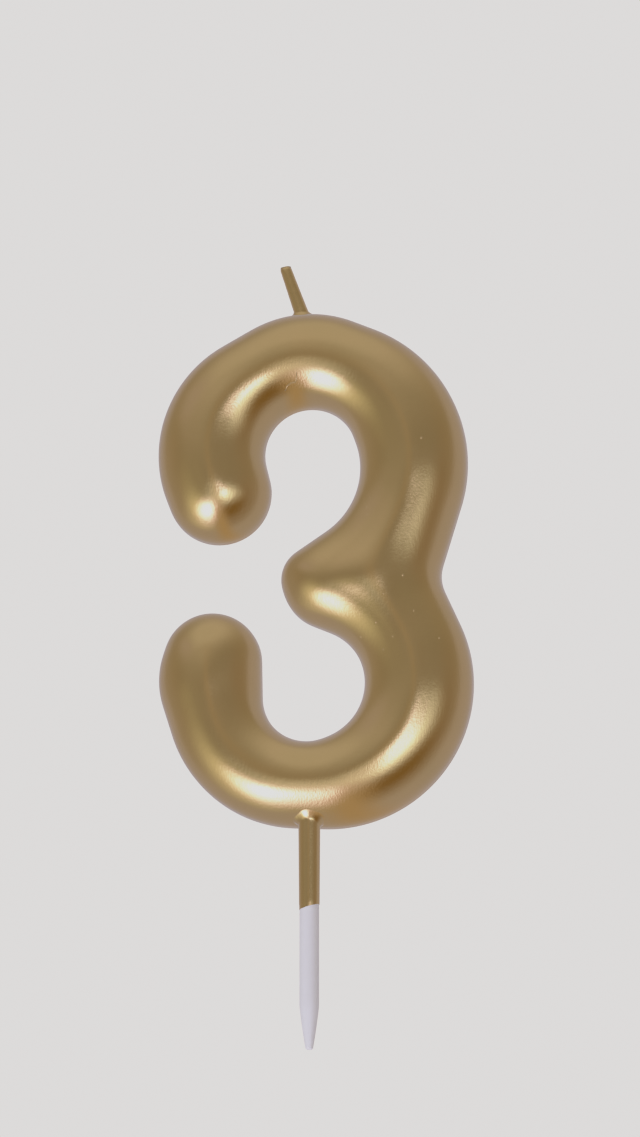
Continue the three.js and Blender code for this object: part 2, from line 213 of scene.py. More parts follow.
# Soft boxes and reflectors round the candle: the middle in degrees right of and above the way to
# the front, the reach across and up in degrees, the roll, the share that is soft edge (all of it where
# none is given) and the colour. A later one hides an earlier one.
STUDIO = {
    "left_side": {"at": (-104, 8), "size": (62, 80), "edge": 0.8, "color": (0.37, 0.335, 0.285)},
    "right_side": {"at": (104, 8), "size": (62, 80), "edge": 0.8, "color": (0.34, 0.305, 0.245)},
    "upper_wall": {"at": (-7, 71), "size": (70, 56), "roll": -71, "edge": 0.7, "color": (0.58, 0.58, 0.61)},
    "left_fill": {"at": (-34, -66), "size": (46, 60), "roll": 15, "color": (1.53, 1.66, 1.42)},
    "pale_behind": {"at": (28, -118), "size": (900, 123), "roll": -28, "edge": 0.9,
                    "color": (0.46, 0.45, 0.52)},
    "pale_edge": {"at": (119, -119), "size": (64, 64), "edge": 0.1, "color": (0.47, 0.46, 0.55)},
    "key_box": {"at": (-19, -50), "size": (31, 38), "roll": 54, "color": (3.6, 3.7, 6.0)},
    "right_box": {"at": (21, -17), "size": (48, 26), "roll": -3, "color": (1.55, 1.80, 2.18)},
    "brown_side": {"at": (38, -47), "size": (42, 81), "roll": 36, "color": (0.25, 0.165, 0.06)},
    "low_glow": {"at": (9.5, -86), "size": (152, 20), "roll": 27, "color": (0.51, 0.42, 0.32)},
    "window": {"at": (15, -9), "size": (14, 13), "color": (2.3, 2.2, 3.6)},
    "crown_glow": {"at": (-56, 42), "size": (38, 17.5), "roll": 18, "color": (0.48, 0.46, 0.52)},
}
AMBIENT = (0.29, 0.27, 0.232)
BOX_DEPTH = 2.0


def peg_centre(peg):
    """Centre of a peg from the two places that its rim reaches."""
    radius = peg["radius"]
    if "midX" in peg:
        x = peg["midX"]
    else:
        x = peg["left"] + radius if "left" in peg else peg["right"] - radius
    if "midZ" in peg:
        z = peg["midZ"]
    else:
        z = peg["bottom"] + radius if "bottom" in peg else peg["top"] - radius
    return np.array([x, z], float)


def left_of(heading):
    """Direction to the left of a heading."""
    return np.array([-math.sin(heading), math.cos(heading)])


def belt():
    """Close-set points of the belt with their distances, its length, and a finder of distances."""
    turn = 2 * math.pi
    pegs = []
    for name, peg in OUTLINE_PEGS.items():
        bend = -peg["radius"] if peg.get("hollow") else peg["radius"]
        pegs.append((name, peg_centre(peg), bend))
    runs = []
    for i, (_, centre, bend) in enumerate(pegs):
        _, next_centre, next_bend = pegs[(i + 1) % len(pegs)]
        between = next_centre - centre
        slope = max(-1, min(1, (bend - next_bend) / math.hypot(*between)))
        heading = math.atan2(between[1], between[0]) - math.asin(slope)
        start = centre + left_of(heading) * bend
        end = next_centre + left_of(heading) * next_bend
        runs.append((heading, start, end))
    samples = []
    arcs = {}
    length = 0.0
    for i, (name, centre, bend) in enumerate(pegs):
        arriving = runs[i - 1][0]
        clockwise = (arriving - runs[i][0]) % turn
        sweep = turn - clockwise if bend < 0 else -clockwise
        arc_length = abs(sweep * bend)
        arcs[name] = (bend, arriving, sweep, length, arc_length)
        count = max(2, int(arc_length / BELT_STEP))
        for f in np.arange(count) / count:
            samples.append((length + arc_length * f, *(centre + left_of(arriving + sweep * f) * bend)))
        length += arc_length
        _, start, end = runs[i]
        run_length = math.hypot(*(end - start))
        count = max(2, int(run_length / BELT_STEP))
        for f in np.arange(count) / count:
            samples.append((length + run_length * f, *(start + (end - start) * f)))
        length += run_length

    def distance_toward(name, degrees):
        """Distance where the belt lies in a direction from a peg, kept on that peg's arc."""
        bend, arriving, sweep, start, arc_length = arcs[name]
        heading = math.radians(degrees + (90 if bend < 0 else -90))
        turned = (heading - arriving) * (1 if sweep > 0 else -1)
        past = (turned + turn / 4) % turn - turn / 4
        return start + arc_length * min(max(past / abs(sweep), 0), 1)

    return np.array(samples), length, distance_toward


class Outline:
    """The belt with its changes of curvature eased, as places and outward directions by distance."""

    easing = 0.6

    def __init__(self):
        samples, self.length, self.distance_toward = belt()
        count = int(self.length / BELT_STEP)
        self.along = np.arange(count) * self.length / count
        waves = np.fft.rfftfreq(count, d=self.length / count)
        gain = np.exp(-2 * (math.pi * waves * self.easing) ** 2)
        gain = gain * (2 - gain)
        self.sides = []
        for column in (1, 2):
            raw = np.interp(self.along, samples[:, 0], samples[:, column], period=self.length)
            self.sides.append(np.fft.irfft(np.fft.rfft(raw) * gain, count))

    def at(self, distance):
        """Places at distances along the belt."""
        sides = [np.interp(distance, self.along, side, period=self.length) for side in self.sides]
        return np.stack(sides, -1)

    def outward(self, distance):
        """Directions away from the wax at distances along the belt."""
        ahead = self.at(distance + BELT_STEP) - self.at(distance - BELT_STEP)
        ahead /= np.linalg.norm(ahead, axis=-1, keepdims=True)
        return np.stack([-ahead[..., 1], ahead[..., 0]], -1)


def monotone_curve(knots, values, at):
    """A smooth curve through the knots that never turns back."""
    gap = np.diff(knots)
    slope = np.diff(values) / gap
    steep = np.zeros(len(knots))
    before = 2 * gap[1:] + gap[:-1]
    after = gap[1:] + 2 * gap[:-1]
    steep[1:-1] = (before + after) / (before / slope[:-1] + after / slope[1:])
    steep[0] = slope[0]
    steep[-1] = slope[-1]
    i = np.clip(np.searchsorted(knots, at, side="right") - 1, 0, len(gap) - 1)
    t = (at - knots[i]) / gap[i]
    rise = values[i + 1] - values[i]
    bend = (1 - t) ** 2 * t * gap[i] * steep[i] - t ** 2 * (1 - t) * gap[i] * steep[i + 1]
    return values[i] + (3 - 2 * t) * t ** 2 * rise + bend


def rung_distances(outline, rung_count):
    """Distances of the outer and the inner ends of the rungs."""
    outer = [outline.distance_toward(*station[0]) for station in STROKE_STATIONS]
    inner = [outline.distance_toward(*station[1]) for station in STROKE_STATIONS]
    for i in range(1, len(outer)):
        while outer[i] < outer[i - 1]:
            outer[i] += outline.length
        while inner[i] > inner[i - 1]:
            inner[i] -= outline.length
    outer = np.array(outer)
    inner = np.array(inner)
    knots = np.concatenate([[0], np.cumsum((np.diff(outer) - np.diff(inner)) / 2)])
    at = np.linspace(0, knots[-1], rung_count + 1)
    return monotone_curve(knots, outer, at), monotone_curve(knots, inner, at)


def eased_step(value, start, end):
    """From 0 at the start to 1 at the end, with no corner at either."""
    share = np.clip((value - start) / (end - start), 0, 1)
    return share ** 2 * (3 - 2 * share)


def rim_distance(outline, x, z):
    """Distance of every place from the outline, negative outside it."""
    rim = np.stack(outline.sides, -1)
    outward = outline.outward(outline.along)
    finder = KDTree(len(rim))
    for i, (rim_x, rim_z) in enumerate(rim):
        finder.insert((rim_x, 0, rim_z), i)
    finder.balance()
    places = np.stack([x.ravel(), z.ravel()], -1)
    nearest = np.array([finder.find((place_x, 0, place_z))[1] for place_x, place_z in places])
    distance = np.full(len(places), np.inf)
    for step in (-1, 1):
        start = rim[nearest]
        chord = rim[(nearest + step) % len(rim)] - start
        share = ((places - start) * chord).sum(-1) / (chord ** 2).sum(-1)
        foot = start + chord * np.clip(share, 0, 1)[:, None]
        distance = np.minimum(distance, np.linalg.norm(places - foot, axis=-1))
    outside = ((places - rim[nearest]) * outward[nearest]).sum(-1) > 0
    distance[outside] *= -1
    return distance.reshape(x.shape)


def rounded_height(distance):
    """Height of a front that is rounded over from its rim and swells where the stroke is widest."""
    to_top = FRONT_ROUNDING - np.clip(distance, 0, FRONT_ROUNDING)
    swell = SWELL_HEIGHT * eased_step(distance, SWELL_FROM, SWELL_TO)
    return np.sqrt(FRONT_ROUNDING ** 2 - to_top ** 2) + swell


class Front:
    """The rounded front over the outline, with the ridge along the stroke's middle eased."""

    def __init__(self):
        self.outline = Outline()
        self.grid_x = np.arange(*FORM_REACH_X, FORM_GRID)
        self.grid_z = np.arange(*FORM_REACH_Z, FORM_GRID)
        self.distance = rim_distance(self.outline, *np.meshgrid(self.grid_x, self.grid_z))

    def height(self, x, z):
        """Height of the front above the widest plane; close to the rim the distance stays as it is."""
        weight_x = np.exp(-((x.ravel()[:, None] - self.grid_x) / RIDGE_EASING) ** 2 / 2)
        weight_z = np.exp(-((z.ravel()[:, None] - self.grid_z) / RIDGE_EASING) ** 2 / 2)
        weight_x /= weight_x.sum(1, keepdims=True)
        weight_z /= weight_z.sum(1, keepdims=True)
        eased = ((weight_z @ self.distance) * weight_x).sum(1).reshape(x.shape)
        own = rim_distance(self.outline, x, z)
        return rounded_height(own + (eased - own) * eased_step(own, 0, RIM_ZONE))


def waves(x, z):
    """Slow unevenness of a dipped surface, between -1 and 1, from crossed waves in radians per mm."""
    long = np.sin(0.31 * x + 0.17 * z + 0.8) * np.cos(0.23 * z - 0.12 * x + 2.1)
    short = np.sin(0.71 * x - 0.43 * z + 1.7) * np.cos(0.57 * z + 0.38 * x)
    return LONG_WAVE_SHARE * long + (1 - LONG_WAVE_SHARE) * short


class Shell:
    """Vertices and faces of a piece while it is being built."""

    def __init__(self):
        self.vertices = []
        self.faces = []

    def add(self, points):
        """Adds points and gives their indices."""
        start = len(self.vertices)
        self.vertices.extend(np.asarray(points, float).reshape(-1, 3).tolist())
        return np.arange(start, len(self.vertices))

    def grid(self, index, closed=False):
        """Quads between neighbouring rows of indices; a closed grid joins its last column to its first."""
        after = np.roll(index, -1, axis=1)
        if not closed:
            index, after = index[:, :-1], after[:, :-1]
        quads = np.stack([index[:-1], after[:-1], after[1:], index[1:]], -1).reshape(-1, 4)
        for quad in quads.tolist():
            corners = list(dict.fromkeys(quad))
            if len(corners) > 2:
                self.faces.append(corners)

    def fan(self, ring, point):
        """Closes a ring with triangles to a point."""
        tip = int(self.add([point])[0])
        for here, there in zip(ring, np.roll(ring, -1)):
            self.faces.append([int(here), int(there), tip])

    def tube(self, rings, close_start=None, close_end=None):
        """A tube through rings of points, closed where an end point is given."""
        index = np.array([self.add(ring) for ring in rings])
        self.grid(index, closed=True)
        if close_start is not None:
            self.fan(index[0][::-1], close_start)
        if close_end is not None:
            self.fan(index[-1], close_end)

    def piece(self, name, material, node):
        """The piece that shows in the place of a CAD node."""
        mesh = bpy.data.meshes.new(name)
        mesh.from_pydata((np.array(self.vertices) * MM).tolist(), [], self.faces)
        mesh.validate()
        faces = bmesh.new()
        faces.from_mesh(mesh)
        bmesh.ops.recalc_face_normals(faces, faces=faces.faces)
        faces.to_mesh(mesh)
        faces.free()
        mesh.polygons.foreach_set("use_smooth", [True] * len(mesh.polygons))
        mesh.materials.append(material)
        mesh.update()
        made = bpy.data.objects.new(name, mesh)
        # The coat would mirror its own inner edges in crisp dark lines, which the picture hasn't.
        made.visible_glossy = False
        bpy.context.scene.collection.objects.link(made)
        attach(made, "root")
        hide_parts(node)
        return made


def front_grid(shell, form, outer, inner, dome_segments):
    """The front as rows across the stroke. The first and the last row are drawn together in a point."""
    outer_points = form.outline.at(outer)
    inner_points = form.outline.at(inner)
    across = np.cos(np.pi * np.arange(dome_segments + 1) / dome_segments)
    middle = (outer_points + inner_points) / 2
    plan = middle[:, None] + (outer_points - middle)[:, None] * across[None, :, None]
    x, z = plan[..., 0], plan[..., 1]
    height = form.height(x, z)
    height[:, [0, -1]] = 0
    height[[0, -1]] = 0
    height += WAVE_HEIGHT * waves(x, z) * np.minimum(height / WAVE_FADE, 1)
    front = np.stack([x, WIDEST_PLANE_Y - height, z], -1)
    index = shell.add(front).reshape(front.shape[:2])
    index[0, :] = index[0, 0]
    index[-1, :] = index[-1, 0]
    shell.grid(index)
    return index


def side_rings(shell, outline, outer, inner, index):
    """The sides and the rounded back edge, from the front's rim on. Gives the back's edge."""
    loop = np.concatenate([outer, inner[-2:0:-1]])
    places = outline.at(loop)
    outward = outline.outward(loop)
    rim = np.concatenate([index[:, 0], index[-2:0:-1, -1]])
    rings = [rim]
    straight = BACK_Y - BACK_EDGE_RADIUS
    for y in (WIDEST_PLANE_Y + (straight - WIDEST_PLANE_Y) / 2, straight):
        rings.append(shell.add(np.insert(places, 1, y, axis=1)))
    for j in range(1, EDGE_SEGMENTS + 1):
        angle = math.pi / 2 * j / EDGE_SEGMENTS
        drawn_in = places - outward * BACK_EDGE_RADIUS * (1 - math.cos(angle))
        y = straight + BACK_EDGE_RADIUS * math.sin(angle)
        rings.append(shell.add(np.insert(drawn_in, 1, y, axis=1)))
    shell.grid(np.array(rings)[::-1], closed=True)
    return rings[-1]


def back_grid(shell, edge, rung_count):
    """The back inside its edge, sunk a little along the stroke's middle."""
    outer_edge = edge[:rung_count + 1]
    inner_edge = np.concatenate([[edge[0]], edge[rung_count + 1:][::-1], [edge[rung_count]]])
    points = np.array(shell.vertices)
    columns = [outer_edge]
    for j in range(1, BACK_SEGMENTS):
        share = (1 - math.cos(math.pi * j / BACK_SEGMENTS)) / 2
        row = points[outer_edge] * (1 - share) + points[inner_edge] * share
        row[:, 1] += -BACK_SINK * math.sin(math.pi * share) ** 2
        fresh = shell.add(row)
        fresh[0] = outer_edge[0]
        fresh[-1] = outer_edge[-1]
        columns.append(fresh)
    columns.append(inner_edge)
    shell.grid(np.array(columns))


def numeral_shell(shell, form, rung_count, dome_segments):
    """The closed outer surface of the numeral."""
    outer, inner = rung_distances(form.outline, rung_count)
    index = front_grid(shell, form, outer, inner, dome_segments)
    edge = side_rings(shell, form.outline, outer, inner, index)
    back_grid(shell, edge, rung_count)


def frame_along(direction):
    """The given direction at length one, and two directions square to it and to each other."""
    direction = np.array(direction, float) / np.linalg.norm(direction)
    side = np.cross(direction, [0.0, 1.0, 0.0])
    side /= np.linalg.norm(side)
    return direction, side, np.cross(side, direction)


def circle(sides):
    """Angles of the corners of a ring."""
    return 2 * np.pi * np.arange(sides) / sides


def spokes_round(angles, side, other):
    """Directions from the middle of a ring to its corners."""
    return np.cos(angles)[:, None] * side + np.sin(angles)[:, None] * other


def foot_reach(angles, foot_radius, flare):
    """How far the pooled foot runs out round a sleeve, a little unevenly."""
    uneven = sum(share * np.sin(count * angles + phase) for share, count, phase in FOOT_WAVES)
    return foot_radius + flare * (1 + uneven)


def sleeve(shell, surface, tip, inward, reach, radius_at, foot, end=None, end_shear=0.0, relief=None):
    """A tube from its tip to the surface of the numeral, with a pooled foot that runs out on it."""
    tip = np.array(tip, float)
    inward, side, other = frame_along(inward)
    angles = circle(ROUND_SIDES)
    spokes = spokes_round(angles, side, other)

    def landings(radii):
        """Distances from the tip's level to the numeral, one for each corner."""
        found = []
        farthest = reach * 1.5
        for spoke, radius in zip(spokes, radii):
            start = tip + spoke * radius
            hit, _, _, distance = surface.ray_cast(Vector(start), Vector(inward), farthest)
            found.append(distance if hit is not None else reach)
        return np.array(found)

    def ring(radius, along):
        """Corners at a radius and a distance from the tip's level."""
        return tip + spokes * radius[:, None] + inward * along[:, None]

    foot_radius = radius_at(reach)
    near = landings(np.full(ROUND_SIDES, foot_radius))
    wide = foot_reach(angles, foot_radius, foot["flare"])
    far = landings(wide)
    beyond = landings(wide + SLOPE_STEP)
    low = near - foot["rise"]
    rings = []
    start_offset = end_shear * np.cos(angles) * foot_radius
    body_steps = max(SLEEVE_STEPS_MIN, int(reach / SLEEVE_STEP))
    for step in range(body_steps + 1):
        along = start_offset + (low - start_offset) * step / body_steps
        radius = np.array([radius_at(a) for a in along])
        if relief is not None:
            radius = radius + relief(angles, along)
        rings.append(ring(radius, along))
    for step in range(1, FOOT_STEPS + 1):
        t = step / FOOT_STEPS
        start_share = (1 + 2 * t) * (1 - t) ** 2
        start_pull = t * (1 - t) ** 2 * FOOT_PULL
        end_share = t ** 2 * (3 - 2 * t)
        end_pull = t ** 2 * (t - 1) * foot["flare"] * FOOT_PULL
        radius = start_share * foot_radius + end_share * wide + end_pull
        along = start_share * low + start_pull * foot["rise"] + end_share * (far + FOOT_SINK)
        along = along + end_pull * (beyond - far) / SLOPE_STEP
        rings.append(ring(radius, along))
    shell.tube(rings, close_start=end)


def pick_film_radius(from_dip):
    """Radius of the film down the pick: thin at the dip line, thicker towards the numeral."""
    from_dip = max(from_dip, 0)
    lip = DIP_LIP_GAIN * min(from_dip / DIP_LIP_LENGTH, 1)
    return PICK_RADIUS + DIP_EDGE_THICKNESS + lip + DIP_RUN_GAIN * min(from_dip / DIP_DEPTH, 1)


def wick_film_radius(from_cut):
    """Radius of the coated wick, slimmer at the cut end, with a rounded rim."""
    from_cut = max(from_cut, 0)
    grown = WICK_CUT_RADIUS + WICK_FOOT_GAIN * (from_cut / WICK_FREE) ** WICK_FOOT_POWER
    if from_cut < WICK_RIM_ROUNDING:
        to_edge = 1 - from_cut / WICK_RIM_ROUNDING
        grown -= WICK_RIM_ROUNDING * (1 - math.sqrt(max(1 - to_edge ** 2, 0)))
    return grown


def braid_relief(angles, along):
    """Plaited strands that just show through the coat."""
    round_wick = BRAID_STRANDS * angles
    strand = np.cos(round_wick + BRAID_TURN * along) * np.cos(round_wick - BRAID_TURN * along)
    return BRAID_HEIGHT * strand * np.minimum(along / BRAID_FADE, 1)


def pick_sleeve(shell, surface):
    """The film on the pick, from the slanted dip line to the collar under the numeral."""
    sleeve(shell, surface, (0, 0, -DIP_DEPTH), (0, 0, 1), DIP_DEPTH, pick_film_radius, PICK_FOOT,
           end_shear=-DIP_SLANT / (2 * PICK_RADIUS))


def wick_sleeve(shell, surface):
    """The film on the wick, closed over the cut end."""
    lean = np.array([-math.sin(WICK_LEAN), 0, math.cos(WICK_LEAN)])
    cut = np.array(WICK_ROOT) + lean * (WICK_FREE + WICK_END_COAT)
    sleeve(shell, surface, cut, -lean, WICK_FREE, wick_film_radius, WICK_FOOT, end=cut,
           end_shear=WICK_CUT_SHEAR, relief=braid_relief)


def seen_at(surface, x, z):
    """Place and normal of the front that the camera sees at x and z of the widest plane."""
    away = Vector((VIEW_RIGHT, -1, -VIEW_DOWN))
    start = Vector((x, WIDEST_PLANE_Y, z)) + IN_FRONT * away
    return surface.ray_cast(start, -away.normalized())[:2]


def nib(shell, surface, x, z, radius):
    """A speck under the film, a low bump on the front."""
    hit, normal = seen_at(surface, x, z)
    if hit is None:
        return
    direction, side, other = frame_along(normal)
    if direction[1] > 0:
        direction = -direction
    centre = np.array(hit)
    spokes = spokes_round(circle(NIB_SIDES), side, other)
    height = radius * NIB_FLATNESS
    rings = []
    for tilt in NIB_TILTS:
        rings.append(centre + spokes * radius * math.cos(tilt) + direction * height * math.sin(tilt))
    shell.tube(rings, close_end=centre + direction * height)


def hair(shell, surface, path, radius):
    """A short hair caught in the film, along a path on the front, slimmer at both ends."""
    centres = []
    for x, z in path:
        hit, normal = seen_at(surface, x, z)
        outward = normal if normal.y < 0 else -normal
        centres.append(np.array(hit + outward * radius * HAIR_LIFT))
    last = len(centres) - 1
    rings = []
    for k, centre in enumerate(centres):
        _, side, other = frame_along(centres[min(k + 1, last)] - centres[max(k - 1, 0)])
        swelling = math.sin(math.pi * k / last)
        slim = radius * (HAIR_END_SHARE + (1 - HAIR_END_SHARE) * swelling)
        rings.append(centre + spokes_round(circle(HAIR_SIDES), side, other) * slim)
    shell.tube(rings, close_start=centres[0], close_end=centres[-1])


def node_tree(name):
    """A new material, its node tree and its surface shader."""
    material = bpy.data.materials.new(name)
    material.use_nodes = True
    tree = material.node_tree
    return material, tree, tree.nodes["Principled BSDF"]


def add_node(tree, kind, inputs=(), **settings):
    """A node with its settings, and its inputs linked or set."""
    node = tree.nodes.new(kind)
    for key, value in settings.items():
        setattr(node, key, value)
    for key, value in dict(inputs).items():
        if isinstance(value, bpy.types.NodeSocket):
            tree.links.new(value, node.inputs[key])
        else:
            node.inputs[key].default_value = value
    return node


def spread(tree, value, low, high):
    """A 0 to 1 value stretched between low and high."""
    node = add_node(tree, "ShaderNodeMapRange", {"Value": value, "To Min": low, "To Max": high})
    return node.outputs["Result"]


def noise(tree, vector, scale, detail):
    """Noise between 0 and 1."""
    inputs = {"Vector": vector, "Scale": scale, "Detail": detail, "Roughness": 0.5}
    return add_node(tree, "ShaderNodeTexNoise", inputs).outputs["Fac"]


def object_place(tree):
    """Where on the object a point lies, in metres."""
    return add_node(tree, "ShaderNodeTexCoord").outputs["Object"]


def two_tone(tree, surface, factor, first, second):
    """Base colour that wanders between two tones."""
    tone = add_node(tree, "ShaderNodeMix", data_type="RGBA")
    tree.links.new(factor, tone.inputs["Factor"])
    tone.inputs["A"].default_value = (*first, 1)
    tone.inputs["B"].default_value = (*second, 1)
    tree.links.new(tone.outputs["Result"], surface.inputs["Base Color"])


def bump(tree, height, strength, depth, below=None):
    """Normal of a bumpy surface, over an earlier one where it is given. The depth is in millimetres."""
    inputs = {"Height": height, "Strength": strength, "Distance": depth * MM}
    if below is not None:
        inputs["Normal"] = below
    return add_node(tree, "ShaderNodeBump", inputs).outputs["Normal"]


def gold_lacquer():
    """Dipped metallic lacquer: satin, with fine grain, slow unevenness and faint brush marks."""
    material, tree, surface = node_tree("gold_lacquer")
    place = object_place(tree)
    grain = noise(tree, place, scale=3400, detail=3.0)
    cloud = noise(tree, place, scale=160, detail=2.0)
    turned = {"Vector": place, "Rotation": (0, MARKS_ANGLE, 0), "Scale": MARKS_SCALE}
    stretched = add_node(tree, "ShaderNodeMapping", turned).outputs["Vector"]
    marks = noise(tree, stretched, scale=1.0, detail=2.0)
    two_tone(tree, surface, cloud, first=(0.63, 0.455, 0.205), second=(0.69, 0.48, 0.225))
    parts = {0: spread(tree, grain, low=0.13, high=0.18), 1: spread(tree, marks, low=-0.03, high=0.05)}
    rough = add_node(tree, "ShaderNodeMath", parts, operation="ADD")
    tree.links.new(rough.outputs["Value"], surface.inputs["Roughness"])
    surface.inputs["Metallic"].default_value = 1.0
    fine = bump(tree, grain, strength=0.3, depth=0.03)
    brushed = bump(tree, marks, strength=0.4, depth=0.03, below=fine)
    broad = bump(tree, cloud, strength=0.25, depth=0.08, below=brushed)
    tree.links.new(broad, surface.inputs["Normal"])
    return material


def cast_wax():
    """Ivory paraffin with a faint bloom."""
    material, tree, surface = node_tree("wax")
    bloom = noise(tree, object_place(tree), scale=300, detail=3.0)
    two_tone(tree, surface, bloom, first=(0.83, 0.77, 0.63), second=(0.88, 0.84, 0.72))
    tree.links.new(spread(tree, bloom, low=0.5, high=0.65), surface.inputs["Roughness"])
    surface.inputs["Subsurface Weight"].default_value = 0.3
    surface.inputs["Subsurface Scale"].default_value = 2 * MM
    return material


def cotton():
    """Waxed cotton of the wick."""
    material, tree, surface = node_tree("wick_cotton")
    lint = noise(tree, object_place(tree), scale=5000, detail=4.0)
    two_tone(tree, surface, lint, first=(0.62, 0.56, 0.44), second=(0.86, 0.82, 0.72))
    surface.inputs["Roughness"].default_value = 0.9
    tree.links.new(bump(tree, lint, strength=0.6, depth=0.05), surface.inputs["Normal"])
    return material


def pick_plastic():
    """White moulded plastic with a satin skin."""
    material, tree, surface = node_tree("pick_plastic")
    mottle = noise(tree, object_place(tree), scale=900, detail=2.0)
    two_tone(tree, surface, mottle, first=(0.89, 0.86, 0.82), second=(0.93, 0.90, 0.86))
    tree.links.new(spread(tree, mottle, low=0.34, high=0.42), surface.inputs["Roughness"])
    tree.links.new(bump(tree, mottle, strength=0.2, depth=0.03), surface.inputs["Normal"])
    return material


def lacquer_skin(form, material):
    """The whole coat: on the numeral, the pick and the wick, with what is caught in it."""
    shell = Shell()
    numeral_shell(shell, form, RUNG_COUNT, DOME_SEGMENTS)
    surface = BVHTree.FromPolygons(shell.vertices, shell.faces)
    pick_sleeve(shell, surface)
    wick_sleeve(shell, surface)
    for x, z, radius in NIBS:
        nib(shell, surface, x, z, radius)
    hair(shell, surface, HAIR_PATH, HAIR_RADIUS)
    return shell.piece("lacquer_skin", material, "lacquer_film")


def wax_core(form, material):
    """The wax under the film: the numeral's surface drawn in by the film's thickness."""
    shell = Shell()
    numeral_shell(shell, form, WAX_RUNG_COUNT, WAX_DOME_SEGMENTS)
    made = shell.piece("wax_core", material, "wax_numeral")
    vertices = made.data.vertices
    inward = [vertex.co - vertex.normal * FILM_THICKNESS * MM for vertex in vertices]
    for vertex, place in zip(vertices, inward):
        vertex.co = place
    made.data.update()
    return made


def pick_profile():
    """Radii and heights of the pick, from its tip up."""
    profile = []
    for k in range(TIP_STEPS + 1):
        turn = math.pi / 2 * k / TIP_STEPS
        profile.append((PICK_TIP_RADIUS - PICK_TIP_ROUNDING * (1 - math.sin(turn)),
                        -PICK_EXPOSED + PICK_TIP_ROUNDING * (1 - math.cos(turn))))
    start_z = -PICK_EXPOSED + PICK_TIP_ROUNDING
    taper_top = -PICK_EXPOSED + PICK_TAPER
    for k in range(1, TAPER_STEPS + 1):
        t = k / TAPER_STEPS
        eased = t + TAPER_BULGE * math.sin(math.pi * t)
        profile.append((PICK_TIP_RADIUS + (PICK_RADIUS - PICK_TIP_RADIUS) * min(eased, 1),
                        start_z + (taper_top - start_z) * t))
    for z in np.linspace(taper_top + 1, PICK_HEAD, SHANK_RINGS):
        profile.append((PICK_RADIUS, z))
    return profile


def bare_pick(material):
    """Smooth round pick with a rounded blunt tip and faint mould lines down both sides."""
    shell = Shell()
    angles = circle(ROUND_SIDES)
    seam = SEAM_HEIGHT * np.exp(-(np.sin(angles) / SEAM_WIDTH) ** 2)
    rings = []
    for radius, z in pick_profile():
        reach = radius + seam - SEAM_HEIGHT
        level = np.full(ROUND_SIDES, z)
        rings.append(np.stack([reach * np.cos(angles), reach * np.sin(angles), level], -1))
    shell.tube(rings, close_start=(0, 0, -PICK_EXPOSED), close_end=(0, 0, PICK_HEAD))
    return shell.piece("bare_pick", material, "cake_pick")


def toward(right, up):
    """Direction of a point of the surroundings, in degrees right of and above the way to the front."""
    away = math.radians(math.hypot(right, up))
    if away == 0:
        return Vector((0, -1, 0))
    scale = math.sin(away) / math.hypot(right, up)
    return Vector((right * scale, -math.cos(away), up * scale))


def box_mask(tree, direction, box):
    """How much of a soft box shows in a direction: 1 in its middle, falling off over its edge."""
    middle = toward(*box["at"])
    level = middle.cross(Vector((0, 0, 1))).normalized()
    right = Matrix.Rotation(math.radians(-box.get("roll", 0)), 3, middle) @ level
    turn = Matrix((right, middle, right.cross(middle))).transposed().to_euler()
    wide, tall = [math.radians(size) for size in box["size"]]
    inputs = {"Vector": direction, "Location": middle, "Rotation": turn, "Scale": (wide, BOX_DEPTH, tall)}
    local = add_node(tree, "ShaderNodeMapping", inputs, vector_type="TEXTURE").outputs["Vector"]
    ball = add_node(tree, "ShaderNodeTexGradient", {"Vector": local}, gradient_type="SPHERICAL")
    inputs = {"Value": ball.outputs["Fac"], "From Max": box.get("edge", 1.0)}
    return add_node(tree, "ShaderNodeMapRange", inputs, interpolation_type="SMOOTHSTEP").outputs["Result"]


def studio_world():
    """A plain pale ground for the camera and soft boxes for everything else."""
    world = bpy.data.worlds.new("studio")
    bpy.context.scene.world = world
    world.use_nodes = True
    tree = world.node_tree
    tree.nodes.clear()
    direction = add_node(tree, "ShaderNodeTexCoord").outputs["Generated"]
    color = None
    for name, box in STUDIO.items():
        mix = add_node(tree, "ShaderNodeMix", data_type="RGBA")
        mix.name = name
        tree.links.new(box_mask(tree, direction, box), mix.inputs["Factor"])
        if color is None:
            mix.inputs["A"].default_value = (*AMBIENT, 1)
        else:
            tree.links.new(color, mix.inputs["A"])
        mix.inputs["B"].default_value = (*box["color"], 1)
        color = mix.outputs["Result"]
    studio = add_node(tree, "ShaderNodeBackground", {"Color": color})
    ground = add_node(tree, "ShaderNodeBackground", {"Color": (*PALE, 1)})
    seen = add_node(tree, "ShaderNodeLightPath").outputs["Is Camera Ray"]
    both = add_node(tree, "ShaderNodeMixShader", {0: seen, 1: studio.outputs[0], 2: ground.outputs[0]})
    out = add_node(tree, "ShaderNodeOutputWorld")
    tree.links.new(both.outputs[0], out.inputs["Surface"])


